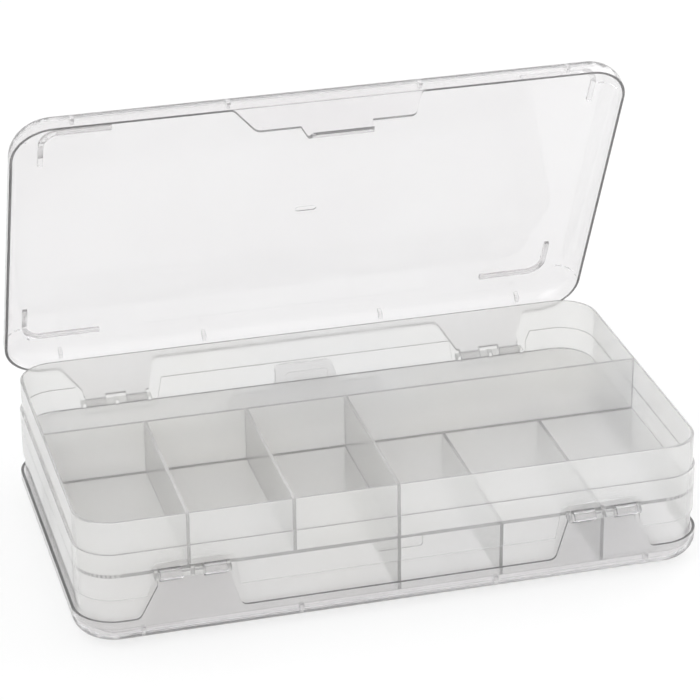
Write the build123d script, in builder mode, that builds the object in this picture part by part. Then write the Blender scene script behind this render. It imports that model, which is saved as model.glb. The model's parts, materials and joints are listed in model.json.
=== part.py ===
"""Double-sided compartment box: one tray that is open on both faces, with a hinged lid on each face.

X runs along the length, Y to the back and Z up. The origin is the centre of the lower lid's flat outer face.
The upper lid is hinged at the back and stands open, the lower lid is hinged at the front and is closed.
"""

import math
import os

from build123d import *

os.makedirs("parts", exist_ok=True)

# Overall sizes of the closed box
box_length = 200.0
box_depth = 116.6
closed_height = 47.0
corner_radius = 13.5
opening_angle = 64.85

# Lid shell
lid_wall = 0.9
lid_panel = 1.2
lid_height = 8.7
lid_edge_radius = 6.5

# Tray shell, its rims sunk into the lids and its raised middle band
rim_drop = 5.3
tray_wall = 0.9
lid_fit = 0.6
band_height = 15.5
band_step = 0.6
floor_thickness = 1.2
rim_bevel = 0.25

# Compartments: a long one along the back, small ones in one half of the front and a large one in the other
divider = 1.1
back_compartment = 49.35
small_compartments = 3

# Hinges
hinge_reach = 1.4
hinge_inset = 35.0
bar_radius = 1.1
bar_clearance = 0.08
clip_wall = 1.12
clip_width = 6.8
clip_pitch = 13.74
post_thickness = 1.2
post_gap = 0.2
post_rise = 0.2
mouth_angle = 100.0
mouth_start = 5.0
plate_gap = 1.6
plate_root_inner = 15.2
plate_root_outer = 16.3
plate_foot_inner = 11.3
plate_foot_outer = 10.6
plate_shoulder = 10.5
plate_radius = 2.4
recess_margin = 1.8
recess_radius = 2.4

# Latch flap, tab and the pocket that its bead snaps into
flap_thickness = 0.9
flap_top_width = 61.0
flap_foot_width = 51.0
flap_depth = 19.6
flap_radius = 2.6
flap_lean = 1.1
flap_root_gap = 0.2
tab_width = 23.0
tab_taper = 3.5
tab_radius = 2.2
tab_depth = 23.4
lip_bend_radius = 3.0
lip_angle = 62.0
lip_length = 3.0
bead_width = 13.6
bead_height = 0.7
bead_stand = 0.2
catch_width = 14.4
catch_height = 4.4
catch_depth = 0.5
catch_radius = 1.2

# Ribs
rest_rib_inner = 31.0
rest_rib_inset = 19.8
rest_rib_thickness = 1.2
rest_rib_reach = 2.6
rest_rib_gap = 0.1
stack_rib_width = 1.6
stack_rib_height = 1.1
stack_rib_radius = 5.5
stack_rib_reach = 33.5
stack_rib_leg = 14.0
stack_inset_inner = 11.3
stack_inset_outer = 8.0
gate_length = 7.0
gate_width = 2.0
gate_depth = 0.3

# Sizes worked out from the driving ones
middle = closed_height / 2
tray_height = closed_height - 2 * rim_drop
rim_inset = lid_wall + lid_fit
tray_length = box_length - 2 * rim_inset
tray_depth = box_depth - 2 * rim_inset
tray_radius = corner_radius - rim_inset
inner_length = tray_length - 2 * tray_wall
inner_depth = tray_depth - 2 * tray_wall
inner_radius = tray_radius - tray_wall
floor_top = middle + floor_thickness / 2
pocket_depth = (tray_height - floor_thickness) / 2
divider_y = inner_depth / 2 - back_compartment - divider / 2
small_pitch = (inner_length / 2 + divider / 2) / small_compartments
hinge_y = box_depth / 2 + hinge_reach
clip_bore = bar_radius + bar_clearance
clip_radius = clip_bore + clip_wall
lid_foot = closed_height - lid_height
plate_foot = middle + plate_gap
wall_face = box_depth / 2 - lid_wall
hinge_x = box_length / 2 - hinge_inset
lower_dividers = [step * small_pitch for step in range(small_compartments)]
upper_dividers = [-x for x in reversed(lower_dividers)]
big = 2 * box_length


def save(piece, name):
    """Label one finished piece and write it."""
    piece.part.label = name
    export_step(piece.part, f"parts/{name}.step")


def block(x_range, y_range, z_range):
    """A plain block between two values on each axis, to keep or cut one stretch of a moulding."""
    sizes = [high - low for low, high in (x_range, y_range, z_range)]
    middles = [(high + low) / 2 for low, high in (x_range, y_range, z_range)]
    return Pos(*middles) * Box(*sizes)


def stretch(moulding, *ranges):
    """The stretch of a moulding that lies in one block."""
    region = block(*ranges)
    with BuildPart() as piece:
        add(moulding.part)
        add(region, mode=Mode.INTERSECT)
    return piece


# Outline on the lid's wall plane of the hinge on the positive X side, wider by a margin
def plate_outline(margin, foot_z, shoulder_z, top_z):
    with BuildSketch() as outline:
        with BuildLine():
            Polyline(
                (hinge_x - plate_root_inner - margin, top_z),
                (hinge_x - plate_foot_inner - margin, foot_z),
                (hinge_x + plate_foot_outer + margin, foot_z),
                (hinge_x + plate_foot_outer + margin, shoulder_z),
                (hinge_x + plate_root_outer + margin, top_z),
                close=True,
            )
        make_face()
    return outline


def flared(outline, root_z, radius):
    """An outline that hangs from the wall's lower edge, with a round flare at each side of its root."""
    box = outline.sketch.bounding_box()
    centre = (box.center().X, root_z + radius)
    with BuildSketch() as flare:
        add(outline.sketch)
        with Locations(centre):
            Rectangle(box.size.X + 6 * radius, 2 * radius)
        at_root = flare.vertices().filter_by(lambda v: abs(v.Y - root_z) < 1e-6)
        fillet(at_root.sort_by(Axis.X)[1:-1], radius)
        with Locations(centre):
            Rectangle(big, 2 * radius, mode=Mode.SUBTRACT)
    return flare


# Recesses in the tray's band, so that the hinge plates and clips lie in the wall: this is the back pair
with BuildPart() as hinge_recesses:
    with BuildSketch(Plane.XZ.offset(-tray_depth / 2)) as recess_outline:
        foot = middle - clip_radius - recess_margin / 2
        top = middle + tray_height / 2
        add(plate_outline(recess_margin, foot, lid_foot - plate_shoulder, top).sketch)
        fillet(recess_outline.vertices().group_by(Axis.Z)[0], recess_radius)
    extrude(amount=-2 * band_step)
    mirror(about=Plane.YZ)

# Pocket in the front of the band for the bead of the upper lid's tab
with BuildPart() as catch_pocket:
    with BuildSketch(Plane.XZ.offset(tray_depth / 2 + band_step - catch_depth)):
        bead_top = closed_height - tab_depth + bead_height + bead_stand / 2
        with Locations((0, bead_top - catch_height / 2)):
            RectangleRounded(catch_width, catch_height, catch_radius)
    extrude(amount=2 * catch_depth)

# Tray moulding: outer wall with a raised band round its middle, hollowed from both faces
turn_over = Axis((0, 0, middle), (1, 0, 0))
with BuildPart() as tray:
    with BuildSketch(Plane.XY.offset(rim_drop)):
        RectangleRounded(tray_length, tray_depth, tray_radius)
    extrude(amount=tray_height)
    chamfer(tray.faces().filter_by(Axis.Z).edges(), rim_bevel)
    with BuildSketch(Plane.XY.offset(middle - band_height / 2)):
        RectangleRounded(tray_length + 2 * band_step, tray_depth + 2 * band_step, tray_radius + band_step)
    extrude(amount=band_height)
    for side, cross_dividers in ((1, upper_dividers), (-1, lower_dividers)):
        with BuildSketch(Plane.XY.offset(middle + side * tray_height / 2)):
            RectangleRounded(inner_length, inner_depth, inner_radius)
            with Locations((0, divider_y)):
                Rectangle(inner_length, divider, mode=Mode.SUBTRACT)
            with Locations(*[(x, divider_y / 2 - inner_depth / 4) for x in cross_dividers]):
                Rectangle(divider, divider_y + inner_depth / 2, mode=Mode.SUBTRACT)
        extrude(amount=-side * pocket_depth, mode=Mode.SUBTRACT)
    for cut in (hinge_recesses, catch_pocket):
        add(cut.part, mode=Mode.SUBTRACT)
        add(cut.part.rotate(turn_over, 180), mode=Mode.SUBTRACT)

# The core inside the walls: the middle floor and the dividers
with BuildPart() as core_region:
    with BuildSketch(Plane.XY):
        RectangleRounded(inner_length, inner_depth, inner_radius)
    extrude(amount=closed_height)
with BuildPart() as walls:
    add(tray.part)
    add(core_region.part, mode=Mode.SUBTRACT)
with BuildPart() as core:
    add(tray.part)
    add(core_region.part, mode=Mode.INTERSECT)

everywhere = (-big, big)
straight = tray_depth / 2 - tray_radius
wall_stretches = {
    "tray_front_wall": (everywhere, (-big, -straight)),
    "tray_back_wall": (everywhere, (straight, big)),
    "tray_left_wall": ((-big, 0), (-straight, straight)),
    "tray_right_wall": ((0, big), (-straight, straight)),
}
for name, (x_range, y_range) in wall_stretches.items():
    save(stretch(walls, x_range, y_range, everywhere), name)

above = (floor_top, big)
below = (-big, floor_top - floor_thickness)
floor_range = (floor_top - floor_thickness, floor_top)
long_range = (divider_y - divider / 2, divider_y + divider / 2)
front_range = (-big, divider_y - divider / 2)
save(stretch(core, everywhere, everywhere, floor_range), "middle_floor")
save(stretch(core, everywhere, long_range, above), "upper_long_divider")
save(stretch(core, everywhere, long_range, below), "lower_long_divider")
cross_names = {
    "upper": (above, zip(("left", "middle", "right"), upper_dividers)),
    "lower": (below, zip(("left", "middle", "right"), lower_dividers)),
}
for face, (z_range, dividers) in cross_names.items():
    for place, x in dividers:
        x_range = (x - small_pitch / 2, x + small_pitch / 2)
        save(stretch(core, x_range, front_range, z_range), f"{face}_{place}_cross_divider")

# Hinge bar at the back on the positive X side, on three posts
post_x = clip_pitch / 2 + clip_width / 2 + post_gap + post_thickness / 2
with BuildPart() as hinge_bar:
    with BuildSketch(Plane.YZ.offset(hinge_x - post_x)):
        with Locations((hinge_y, middle)):
            Circle(bar_radius)
    extrude(amount=2 * post_x)
    for x in (hinge_x - post_x, hinge_x, hinge_x + post_x):
        with BuildSketch(Plane.YZ.offset(x - post_thickness / 2)):
            with Locations((hinge_y, middle)):
                Circle(bar_radius + post_rise)
            with Locations(((tray_depth / 2 + hinge_y) / 2, middle)):
                Rectangle(hinge_y - tray_depth / 2, 2 * (bar_radius + post_rise))
        extrude(amount=post_thickness)

for side, back_bar in (("right", hinge_bar.part), ("left", hinge_bar.part.mirror(Plane.YZ))):
    for face, bar in (("back", back_bar), ("front", back_bar.rotate(turn_over, 180))):
        with BuildPart() as placed_bar:
            add(bar)
        save(placed_bar, f"{face}_{side}_hinge_bar")


# The lid, closed on the upper face: latch in front, hinges at the back
with BuildPart() as lid_hollow:
    with BuildSketch(Plane.XY.offset(lid_foot)):
        RectangleRounded(box_length - 2 * lid_wall, box_depth - 2 * lid_wall, corner_radius - lid_wall)
    extrude(amount=lid_height - lid_panel)
    fillet(lid_hollow.faces().sort_by(Axis.Z)[-1].edges(), lid_edge_radius - lid_wall)

with BuildPart() as lid_shell:
    with BuildSketch(Plane.XY.offset(lid_foot)):
        RectangleRounded(box_length, box_depth, corner_radius)
    extrude(amount=lid_height)
    fillet(lid_shell.faces().sort_by(Axis.Z)[-1].edges(), lid_edge_radius)
    add(lid_hollow.part, mode=Mode.SUBTRACT)
    with BuildSketch(Plane.XY.offset(closed_height - lid_panel)):
        SlotOverall(gate_length, gate_width)
    extrude(amount=gate_depth, mode=Mode.SUBTRACT)

with BuildPart() as panel_region:
    with BuildSketch(Plane.XY):
        RectangleRounded(
            box_length - 2 * lid_edge_radius, box_depth - 2 * lid_edge_radius, corner_radius - lid_edge_radius
        )
    extrude(amount=closed_height)
with BuildPart() as lid_panel_piece:
    add(lid_shell.part)
    add(panel_region.part, mode=Mode.INTERSECT)
with BuildPart() as lid_walls:
    add(lid_shell.part)
    add(panel_region.part, mode=Mode.SUBTRACT)

# Small ribs in the rounded edge of the long sides, whose ends rest on the tray's rim
with BuildPart() as rest_ribs:
    rib_foot = closed_height - rim_drop + rest_rib_gap
    rib_height = closed_height - rib_foot
    rib_y = wall_face - rest_rib_reach / 2
    for x in (rest_rib_inner, box_length / 2 - rest_rib_inset):
        with GridLocations(2 * x, 2 * rib_y, 2, 2):
            with Locations((0, 0, rib_foot + rib_height / 2)):
                Box(rest_rib_thickness, rest_rib_reach, rib_height)
    add(lid_hollow.part, mode=Mode.INTERSECT)

# L-shaped ribs on the outer face, nested with those of the next box in a stack
with BuildPart() as stacking_ribs:
    for sx, sy in ((-1, -1), (1, 1), (1, -1), (-1, 1)):
        inset = stack_inset_inner if sx == sy else stack_inset_outer
        rib_x = box_length / 2 - inset
        rib_y = box_depth / 2 - inset
        with BuildSketch(Plane.XY.offset(closed_height)):
            with BuildLine():
                FilletPolyline(
                    (sx * (box_length / 2 - stack_rib_reach), sy * rib_y),
                    (sx * rib_x, sy * rib_y),
                    (sx * rib_x, sy * (rib_y - stack_rib_leg)),
                    radius=stack_rib_radius,
                )
            trace(line_width=stack_rib_width)
        extrude(amount=stack_rib_height)

# Latch flap: one bent strip, trimmed to the outline of the flap, its tab and the finger lip
flap_foot = closed_height - flap_depth
with BuildPart() as latch:
    root = (-(wall_face + flap_root_gap + flap_thickness / 2), lid_foot)
    bend = (root[0] - flap_lean, closed_height - tab_depth)
    with BuildSketch(Plane.YZ.offset(-flap_top_width)):
        with BuildLine():
            plane_run = Line(root, bend)
            lean_angle = math.degrees(math.atan2(flap_lean, root[1] - bend[1]))
            lip_bend = JernArc(plane_run @ 1, plane_run % 1, lip_bend_radius, lean_angle - lip_angle)
            lip = Line(lip_bend @ 1, lip_bend @ 1 + (lip_bend % 1) * lip_length)
        trace(line_width=flap_thickness)
    lip_foot = (lip @ 1).Y - flap_thickness / 2 * math.sin(math.radians(lip_angle))
    extrude(amount=2 * flap_top_width)
    with BuildSketch() as flap_face:
        with BuildLine():
            Polyline(
                (-flap_top_width / 2, lid_foot),
                (-flap_foot_width / 2, flap_foot),
                (flap_foot_width / 2, flap_foot),
                (flap_top_width / 2, lid_foot),
                close=True,
            )
        make_face()
        fillet(flap_face.vertices().group_by(Axis.Y)[0], flap_radius)
        with BuildLine():
            Polyline(
                (-tab_width / 2, flap_foot + flap_radius),
                (-tab_width / 2, flap_foot),
                (-(tab_width - tab_taper) / 2, lip_foot),
                ((tab_width - tab_taper) / 2, lip_foot),
                (tab_width / 2, flap_foot),
                (tab_width / 2, flap_foot + flap_radius),
                close=True,
            )
        make_face()
        fillet(flap_face.vertices().group_by(Axis.Y)[0], tab_radius)
    flap_flared = flared(flap_face, lid_foot, flap_radius)
    with BuildSketch(Plane.XZ):
        add(flap_flared.sketch)
    extrude(amount=big, mode=Mode.INTERSECT)
    bead_z = closed_height - tab_depth + bead_height / 2
    bead_y = root[0] + flap_thickness / 2 - flap_lean * (lid_foot - bead_z) / (lid_foot - bend[1])
    with BuildSketch(Plane.YZ.offset(-bead_width / 2)):
        with Locations((bead_y - bead_height / 2 + bead_stand, bead_z)):
            Circle(bead_height / 2)
    extrude(amount=bead_width)

# Hinge on the positive X side: a plate that hangs from the wall, with two open clips round the bar
with BuildPart() as hinge:
    plate_face = plate_outline(0, plate_foot, lid_foot - plate_shoulder, lid_foot)
    plate_flared = flared(plate_face, lid_foot, plate_radius)
    with BuildSketch(Plane.XZ.offset(-wall_face)):
        add(plate_flared.sketch)
    extrude(amount=-lid_wall)
    for offset_x in (-clip_pitch / 2, clip_pitch / 2):
        with BuildSketch(Plane.YZ.offset(hinge_x + offset_x - clip_width / 2)) as clip:
            with Locations((hinge_y, middle)):
                Circle(clip_radius)
            with Locations((wall_face + lid_wall / 2, (middle + plate_foot) / 2)):
                Rectangle(lid_wall, plate_gap)
            with Locations((hinge_y, middle)):
                Circle(clip_bore, mode=Mode.SUBTRACT)
            with BuildLine():
                reach = 2 * clip_radius
                mouth = [math.radians(mouth_start + part * mouth_angle / 2) for part in range(3)]
                Polyline(
                    (hinge_y, middle),
                    *[(hinge_y + reach * math.cos(a), middle + reach * math.sin(a)) for a in mouth],
                    close=True,
                )
            make_face(mode=Mode.SUBTRACT)
        extrude(amount=clip_width)

# Every lid piece by name, still in the closed upper place
hinge_right = hinge.part
lid_straight = box_depth / 2 - corner_radius
lid_pieces = {
    "panel": lid_panel_piece.part,
    "front_wall": stretch(lid_walls, everywhere, (-big, -lid_straight), everywhere).part,
    "back_wall": stretch(lid_walls, everywhere, (lid_straight, big), everywhere).part,
    "left_wall": stretch(lid_walls, (-big, 0), (-lid_straight, lid_straight), everywhere).part,
    "right_wall": stretch(lid_walls, (0, big), (-lid_straight, lid_straight), everywhere).part,
    "rest_ribs": rest_ribs.part,
    "stacking_ribs": stacking_ribs.part,
    "latch": latch.part,
    "right_hinge": hinge_right,
    "left_hinge": hinge_right.mirror(Plane.YZ),
}
hinge_line = Axis((0, hinge_y, middle), (1, 0, 0))
for piece_name, piece in lid_pieces.items():
    with BuildPart() as upper_piece:
        add(piece.rotate(hinge_line, -opening_angle))
    save(upper_piece, f"upper_lid_{piece_name}")
    with BuildPart() as lower_piece:
        add(piece.rotate(turn_over, 180))
    save(lower_piece, f"lower_lid_{piece_name}")
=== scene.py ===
"""Looks of the double-sided compartment box: clear moulded plastic, pale floor, soft light and camera."""

import json
import math

import bmesh
import bpy
from mathutils import Matrix, Vector


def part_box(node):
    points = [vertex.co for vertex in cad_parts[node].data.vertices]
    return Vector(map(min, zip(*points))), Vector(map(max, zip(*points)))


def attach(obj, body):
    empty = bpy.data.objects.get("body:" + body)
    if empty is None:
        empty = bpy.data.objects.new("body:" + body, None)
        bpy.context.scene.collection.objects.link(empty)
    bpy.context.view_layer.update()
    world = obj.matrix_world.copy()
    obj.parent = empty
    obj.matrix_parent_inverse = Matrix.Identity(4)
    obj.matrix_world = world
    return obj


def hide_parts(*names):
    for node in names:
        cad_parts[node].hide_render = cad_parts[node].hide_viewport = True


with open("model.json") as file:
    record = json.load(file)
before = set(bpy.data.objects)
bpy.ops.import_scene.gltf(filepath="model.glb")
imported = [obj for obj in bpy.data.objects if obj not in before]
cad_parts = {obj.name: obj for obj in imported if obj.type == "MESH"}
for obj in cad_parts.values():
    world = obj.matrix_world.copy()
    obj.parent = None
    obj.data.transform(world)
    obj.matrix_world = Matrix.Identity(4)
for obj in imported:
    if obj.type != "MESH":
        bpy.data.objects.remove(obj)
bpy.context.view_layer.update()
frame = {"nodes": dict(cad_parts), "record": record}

MM = 0.001
WHITE = (1.0, 1.0, 1.0, 1.0)

# Camera of the photograph: direction, distance, lens in pixels and the point it looks at
IMAGE_SIZE = 700
SENSOR = 36.0
CAMERA_AZIMUTH = -14.93
CAMERA_ELEVATION = 25.65
CAMERA_ROLL = -0.54
CAMERA_DISTANCE = 947.7 * MM
LENS_PIXELS = 3002.3
LOOK_AT = Vector((0.02, 0.0, 60.68)) * MM

# Joining the nodes of a moulding: how near two corners are one corner, before and after the union, and the
# most sides that a hole may have to be filled
SAME_CORNER = 1e-4 * MM
SAME_UNION_CORNER = 2e-3 * MM
LARGEST_HOLE_SIDES = 4

# Faces that meet at less than this angle are shaded as one round surface
SMOOTH_COSINE = math.cos(math.radians(32))

# Clear plastic: refraction, how much paler than its tint its clouds are, and the colour it takes in depth
PLASTIC_IOR = 1.49
CLOUD_TINT = 1.03
DEEP_COLOUR = (0.3, 0.3, 0.3, 1.0)

# Noise textures: scale, detail and roughness of the clouds, the uneven gloss, the flow waves and the floor
CLOUDS = (18.0, 3.0, 0.5)
GLOSS = (55.0, 4.0, 0.6)
WAVES = (9.0, 2.0, 0.4)
FLOOR_GRAIN = (40.0, 2.0, 0.5)
WAVE_HEIGHT = 0.4 * MM

# Usual lowest and highest value of a noise texture
NOISE_LOW = 0.3
NOISE_HIGH = 0.7

# Pale floor just under the faces of the ribs that the box stands on
FLOOR_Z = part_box("lower_lid_stacking_ribs")[0].z
FLOOR_GAP = 0.1 * MM
FLOOR_SIZE = 6.0
FLOOR_COLOUR = (0.94, 0.94, 0.94, 1.0)
FLOOR_ROUGHNESS = 0.8
FLOOR_RELIEF = 0.02

# How far the floor is shown as plain white, as the photograph's background is, and not as it is lit
FLOOR_WHITE = 0.75

# Soft light: strength of the sky on surfaces, and place, watts and size of each lamp, which faces the box
SKY_STRENGTH = 0.85
LAMPS = {
    "key": ((-0.8, -0.8, 1.4), 12.0, 1.8),
    "fill": ((1.2, 0.5, 1.0), 9.0, 1.6),
}
LAMP_AIM = Vector((0.0, 0.0, 50.0)) * MM

# Light crosses many clear walls before it reaches the floor and comes back. The limit on what a bounce can
# bring keeps bright specks out of the picture.
LIGHT_BOUNCES = 96
GLOSSY_BOUNCES = 8
BRIGHTEST_BOUNCE = 3.0


# Materials
def new_material(name):
    material = bpy.data.materials.new(name)
    material.use_nodes = True
    tree = material.node_tree
    return material, tree, tree.nodes["Principled BSDF"]


def noise(tree, kind):
    """Noise in the object's own coordinates."""
    coordinates = tree.nodes.new("ShaderNodeTexCoord")
    texture = tree.nodes.new("ShaderNodeTexNoise")
    for socket, value in zip(("Scale", "Detail", "Roughness"), kind):
        texture.inputs[socket].default_value = value
    tree.links.new(coordinates.outputs["Object"], texture.inputs["Vector"])
    return texture.outputs["Fac"]


def mapped(tree, source, low, high):
    """A texture's value, spread from low to high."""
    spread = tree.nodes.new("ShaderNodeMapRange")
    spread.inputs["From Min"].default_value = NOISE_LOW
    spread.inputs["From Max"].default_value = NOISE_HIGH
    spread.inputs["To Min"].default_value = low
    spread.inputs["To Max"].default_value = high
    tree.links.new(source, spread.inputs["Value"])
    return spread.outputs["Result"]


def raised(tree, surface, height, strength, distance=None):
    """Relief on a surface from a texture's value."""
    relief = tree.nodes.new("ShaderNodeBump")
    relief.inputs["Strength"].default_value = strength
    if distance:
        relief.inputs["Distance"].default_value = distance
    tree.links.new(height, relief.inputs["Height"])
    tree.links.new(relief.outputs["Normal"], surface.inputs["Normal"])


def clear_plastic(name, tint, milkiness, roughness, relief, absorption=None):
    """Clear moulded polypropylene: slightly milky, with faint flow waves and a fine uneven gloss."""
    material, tree, surface = new_material(name)
    surface.inputs["Transmission Weight"].default_value = 1.0 - milkiness
    surface.inputs["IOR"].default_value = PLASTIC_IOR
    if absorption:
        depth = tree.nodes.new("ShaderNodeVolumeAbsorption")
        depth.inputs["Color"].default_value = DEEP_COLOUR
        depth.inputs["Density"].default_value = absorption
        tree.links.new(depth.outputs["Volume"], tree.nodes["Material Output"].inputs["Volume"])
    tinted = tree.nodes.new("ShaderNodeMix")
    tinted.data_type = "RGBA"
    tinted.inputs["A"].default_value = tint + (1.0,)
    tinted.inputs["B"].default_value = tuple(min(1.0, c * CLOUD_TINT) for c in tint) + (1.0,)
    tree.links.new(mapped(tree, noise(tree, CLOUDS), 0.0, 1.0), tinted.inputs["Factor"])
    tree.links.new(tinted.outputs["Result"], surface.inputs["Base Color"])
    tree.links.new(mapped(tree, noise(tree, GLOSS), *roughness), surface.inputs["Roughness"])
    raised(tree, surface, noise(tree, WAVES), relief, WAVE_HEIGHT)
    return material


# Each moulding is one piece of plastic, so the nodes that it is made of are joined with no face left inside
def cleaned_copy(node, collection):
    mesh = frame["nodes"][node].data.copy()
    work = bmesh.new()
    work.from_mesh(mesh)
    bmesh.ops.remove_doubles(work, verts=work.verts, dist=SAME_CORNER)
    work.to_mesh(mesh)
    work.free()
    piece = bpy.data.objects.new("work_" + node, mesh)
    collection.objects.link(piece)
    return piece


def joined(nodes, body):
    """Mesh of the exact union of a body's nodes."""
    others = bpy.data.collections.new("work_" + body)
    bpy.context.scene.collection.children.link(others)
    copies = [cleaned_copy(node, others) for node in nodes]
    first = copies[0]
    others.objects.unlink(first)
    bpy.context.scene.collection.objects.link(first)
    union = first.modifiers.new("union", "BOOLEAN")
    union.operation = "UNION"
    union.operand_type = "COLLECTION"
    union.collection = others
    union.solver = "EXACT"
    union.use_self = False
    union.use_hole_tolerant = False
    graph = bpy.context.evaluated_depsgraph_get()
    mesh = bpy.data.meshes.new_from_object(first.evaluated_get(graph))
    for piece in copies:
        bpy.data.objects.remove(piece)
    bpy.data.collections.remove(others)
    return mesh


def mended(mesh):
    """Weld the corners that the union left apart, and fill the small holes that it left open."""
    work = bmesh.new()
    work.from_mesh(mesh)
    bmesh.ops.remove_doubles(work, verts=work.verts, dist=SAME_UNION_CORNER)
    bmesh.ops.dissolve_degenerate(work, edges=work.edges, dist=SAME_UNION_CORNER)
    open_edges = [edge for edge in work.edges if edge.is_boundary]
    bmesh.ops.holes_fill(work, edges=open_edges, sides=LARGEST_HOLE_SIDES)
    odd_edges = sum(1 for edge in work.edges if not edge.is_manifold)
    work.to_mesh(mesh)
    work.free()
    return odd_edges


def smooth_corners(mesh):
    """Normals at each face's corners, smooth over rounds and flat beside sharp edges, weighted by area."""
    mesh.polygons.foreach_set("use_smooth", [True] * len(mesh.polygons))
    faces = [(face.normal.copy(), face.area, tuple(face.vertices)) for face in mesh.polygons]
    around = [[] for _ in mesh.vertices]
    for normal, area, vertices in faces:
        for vertex in vertices:
            around[vertex].append((normal, area))
    corner_normals = []
    for own, _, vertices in faces:
        for vertex in vertices:
            total = Vector()
            for normal, area in around[vertex]:
                if normal.dot(own) > SMOOTH_COSINE:
                    total += normal * area
            corner_normals.append(total.normalized() if total.length > 0 else own)
    mesh.normals_split_custom_set(corner_normals)


def moulding(name, body, material):
    nodes = frame["record"]["behaviour"]["bodies"][body]
    mesh = joined(nodes, body)
    odd_edges = mended(mesh)
    mesh.materials.clear()
    mesh.materials.append(material)
    smooth_corners(mesh)
    piece = bpy.data.objects.new(name, mesh)
    bpy.context.scene.collection.objects.link(piece)
    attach(piece, body)
    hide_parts(*nodes)
    print(name, len(mesh.vertices), "vertices", odd_edges, "odd edges")


lid_plastic = clear_plastic(
    "clear_lid_plastic",
    tint=(0.975, 0.965, 0.97),
    milkiness=0.09,
    roughness=(0.05, 0.11),
    relief=0.03,
    absorption=45.0,
)
tray_plastic = clear_plastic(
    "clear_tray_plastic",
    tint=(1.0, 0.996, 0.98),
    milkiness=0.20,
    roughness=(0.12, 0.2),
    relief=0.04,
)
for node, piece in frame["nodes"].items():
    piece.data.materials.clear()
    piece.data.materials.append(lid_plastic if "lid" in node else tray_plastic)

moulding("tray_moulding", "tray", tray_plastic)
moulding("upper_lid_moulding", "upper_lid", lid_plastic)
moulding("lower_lid_moulding", "lower_lid", lid_plastic)


# Floor, light and camera
def shown_ray(tree):
    """1 for rays that show the background: straight, by reflection or through clear plastic."""
    path = tree.nodes.new("ShaderNodeLightPath")
    shown = path.outputs["Is Camera Ray"]
    for kind in ("Is Glossy Ray", "Is Transmission Ray"):
        either = tree.nodes.new("ShaderNodeMath")
        either.operation = "MAXIMUM"
        tree.links.new(shown, either.inputs[0])
        tree.links.new(path.outputs[kind], either.inputs[1])
        shown = either.outputs[0]
    return shown


def make_floor():
    bpy.ops.mesh.primitive_plane_add(size=FLOOR_SIZE, location=(0, 0, FLOOR_Z - FLOOR_GAP))
    floor = bpy.context.object
    floor.name = "floor"
    material, tree, surface = new_material("pale_floor")
    surface.inputs["Base Color"].default_value = FLOOR_COLOUR
    surface.inputs["Roughness"].default_value = FLOOR_ROUGHNESS
    raised(tree, surface, noise(tree, FLOOR_GRAIN), FLOOR_RELIEF)
    white = tree.nodes.new("ShaderNodeEmission")
    white.inputs["Color"].default_value = WHITE
    share = tree.nodes.new("ShaderNodeMath")
    share.operation = "MULTIPLY"
    share.inputs[1].default_value = FLOOR_WHITE
    tree.links.new(shown_ray(tree), share.inputs[0])
    mix = tree.nodes.new("ShaderNodeMixShader")
    tree.links.new(share.outputs[0], mix.inputs["Fac"])
    tree.links.new(surface.outputs["BSDF"], mix.inputs[1])
    tree.links.new(white.outputs["Emission"], mix.inputs[2])
    tree.links.new(mix.outputs[0], tree.nodes["Material Output"].inputs["Surface"])
    floor.data.materials.append(material)


def make_world():
    world = bpy.data.worlds.new("studio")
    bpy.context.scene.world = world
    world.use_nodes = True
    tree = world.node_tree
    light = tree.nodes["Background"]
    light.inputs["Color"].default_value = WHITE
    light.inputs["Strength"].default_value = SKY_STRENGTH
    shown = tree.nodes.new("ShaderNodeBackground")
    shown.inputs["Color"].default_value = WHITE
    mix = tree.nodes.new("ShaderNodeMixShader")
    tree.links.new(shown_ray(tree), mix.inputs["Fac"])
    tree.links.new(light.outputs[0], mix.inputs[1])
    tree.links.new(shown.outputs[0], mix.inputs[2])
    tree.links.new(mix.outputs[0], tree.nodes["World Output"].inputs["Surface"])


def make_lamp(name, place, power, size):
    data = bpy.data.lights.new(name, "AREA")
    data.energy = power
    data.size = size
    lamp = bpy.data.objects.new(name, data)
    lamp.location = Vector(place)
    lamp.rotation_euler = (LAMP_AIM - lamp.location).to_track_quat("-Z", "Y").to_euler()
    bpy.context.scene.collection.objects.link(lamp)


def make_camera():
    azimuth, elevation, roll = (math.radians(v) for v in (CAMERA_AZIMUTH, CAMERA_ELEVATION, CAMERA_ROLL))
    back = Vector((
        math.sin(azimuth) * math.cos(elevation),
        -math.cos(azimuth) * math.cos(elevation),
        math.sin(elevation),
    ))
    right = Vector((math.cos(azimuth), math.sin(azimuth), 0.0))
    up = back.cross(right)
    rolled_right = math.cos(roll) * right + math.sin(roll) * up
    rolled_up = math.cos(roll) * up - math.sin(roll) * right
    turn = Matrix((rolled_right, rolled_up, back)).transposed().to_4x4()
    data = bpy.data.cameras.new("camera")
    data.sensor_width = SENSOR
    data.lens = LENS_PIXELS / IMAGE_SIZE * SENSOR
    camera = bpy.data.objects.new("camera", data)
    camera.matrix_world = Matrix.Translation(LOOK_AT + CAMERA_DISTANCE * back) @ turn
    bpy.context.scene.collection.objects.link(camera)
    bpy.context.scene.camera = camera


make_floor()
make_world()
for lamp_name, (place, power, size) in LAMPS.items():
    make_lamp(lamp_name, place, power, size)
make_camera()
bpy.context.scene.view_settings.view_transform = "Standard"
bpy.context.scene.cycles.max_bounces = LIGHT_BOUNCES
bpy.context.scene.cycles.transmission_bounces = LIGHT_BOUNCES
bpy.context.scene.cycles.glossy_bounces = GLOSSY_BOUNCES
bpy.context.scene.cycles.diffuse_bounces = LIGHT_BOUNCES
bpy.context.scene.cycles.sample_clamp_indirect = BRIGHTEST_BOUNCE
